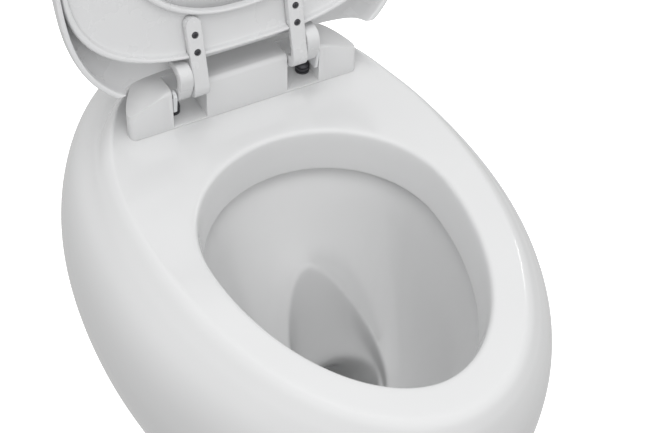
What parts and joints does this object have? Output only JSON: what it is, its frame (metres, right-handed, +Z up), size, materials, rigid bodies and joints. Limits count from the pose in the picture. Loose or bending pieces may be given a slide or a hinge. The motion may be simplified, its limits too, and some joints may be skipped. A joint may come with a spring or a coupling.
{
  "type": "close coupled toilet",
  "caption": "Egg-shaped close coupled toilet with a box rim, a cistern on its rear shelf, and a plastic seat and wrap-over lid raised on steel hinge posts.",
  "frame": {"origin": "centre of the overall box at floor level, half way between the pan's front and the cistern's back", "axes": "+X to the right seen from the front, +Y to the back, +Z up"},
  "size_m": [0.474, 0.748, 0.8867],
  "materials": {
    "china": "glazed white vitreous china",
    "seat_plastic": "smooth white thermoset",
    "cover_plastic": "satin white moulding",
    "white_plastic": "satin",
    "grey_plastic": "satin",
    "blue_plastic": "satin",
    "buffer_rubber": "milky soft plastic",
    "black_rubber": "matt",
    "stainless_steel": "turned",
    "galvanised_steel": "zinc",
    "chrome": "mirror"
  },
  "bodies": {
    "pan_and_cistern": {"pan": "china", "floor_bracket_left": "galvanised_steel", "side_fixing_screw_left": "stainless_steel", "side_fixing_cap_left": "white_plastic", "floor_bracket_right": "galvanised_steel", "side_fixing_screw_right": "stainless_steel", "side_fixing_cap_right": "white_plastic", "hinge_cover": "cover_plastic", "hinge_post_left": "stainless_steel", "hinge_pin_left": "stainless_steel", "hinge_washer_left": "black_rubber", "hinge_wing_nut_left": "white_plastic", "hinge_post_right": "stainless_steel", "hinge_pin_right": "stainless_steel", "hinge_washer_right": "black_rubber", "hinge_wing_nut_right": "white_plastic", "cistern": "china", "cistern_lid": "china", "button_bezel": "chrome", "button_ring_nut": "white_plastic", "flush_valve_body": "white_plastic", "flush_valve_back_nut": "white_plastic", "doughnut_washer": "black_rubber", "cistern_bolt_left": "stainless_steel", "cistern_bolt_washer_left": "black_rubber", "cistern_wing_nut_left": "white_plastic", "cistern_bolt_right": "stainless_steel", "cistern_bolt_washer_right": "black_rubber", "cistern_wing_nut_right": "white_plastic", "fill_valve": "grey_plastic", "fill_valve_back_nut": "white_plastic", "float_pin": "stainless_steel"},
    "seat_body": {"seat": "seat_plastic", "seat_arm_left": "seat_plastic", "seat_screw_left_rear": "stainless_steel", "seat_screw_left_front": "stainless_steel", "seat_arm_right": "seat_plastic", "seat_screw_right_rear": "stainless_steel", "seat_screw_right_front": "stainless_steel", "seat_buffer_left_rear": "buffer_rubber", "seat_buffer_left_front": "buffer_rubber", "seat_buffer_right_rear": "buffer_rubber", "seat_buffer_right_front": "buffer_rubber"},
    "lid_body": {"lid_arm_left": "seat_plastic", "lid_screw_left_rear": "stainless_steel", "lid_screw_left_front": "stainless_steel", "lid_arm_right": "seat_plastic", "lid_screw_right_rear": "stainless_steel", "lid_screw_right_front": "stainless_steel", "lid": "seat_plastic", "lid_buffer_left": "buffer_rubber", "lid_buffer_right": "buffer_rubber"},
    "full_flush": {"full_flush_button": "chrome", "full_flush_rod": "blue_plastic"},
    "half_flush": {"half_flush_button": "chrome", "half_flush_rod": "white_plastic"},
    "valve_lift": {"flush_valve_spindle": "blue_plastic", "flush_valve_seal": "black_rubber"},
    "float_body": {"float": "blue_plastic", "float_arm": "grey_plastic"}
  },
  "joints": [
    {"name": "lid_hinge", "type": "hinge", "parent": "pan_and_cistern", "child": "lid_body", "pos_m": [0, 0.091, 0.441], "axis": [1, 0, 0], "range_deg": [0, 109]},
    {"name": "seat_hinge", "type": "hinge", "parent": "pan_and_cistern", "child": "seat_body", "pos_m": [0, 0.091, 0.441], "axis": [1, 0, 0], "range_deg": [0, 109]},
    {"name": "full_flush_press", "type": "slide", "parent": "pan_and_cistern", "child": "full_flush", "axis": [0, 0, -1], "range_m": [0, 0.007], "stiffness_N_per_m": 400, "springref_m": -0.01},
    {"name": "half_flush_press", "type": "slide", "parent": "pan_and_cistern", "child": "half_flush", "axis": [0, 0, -1], "range_m": [0, 0.007], "stiffness_N_per_m": 400, "springref_m": -0.01},
    {"name": "valve_lift", "type": "slide", "parent": "pan_and_cistern", "child": "valve_lift", "axis": [0, 0, 1], "range_m": [0, 0.014]},
    {"name": "float_swing", "type": "hinge", "parent": "pan_and_cistern", "child": "float_body", "pos_m": [0.113, 0.2885, 0.673], "axis": [0, 1, 0], "range_deg": [0, 16]}
  ],
  "couplings": [
    {"joint": "seat_hinge", "follows": "lid_hinge", "ratio": 1},
    {"joint": "valve_lift", "follows": "full_flush_press", "ratio": 2}
  ]
}
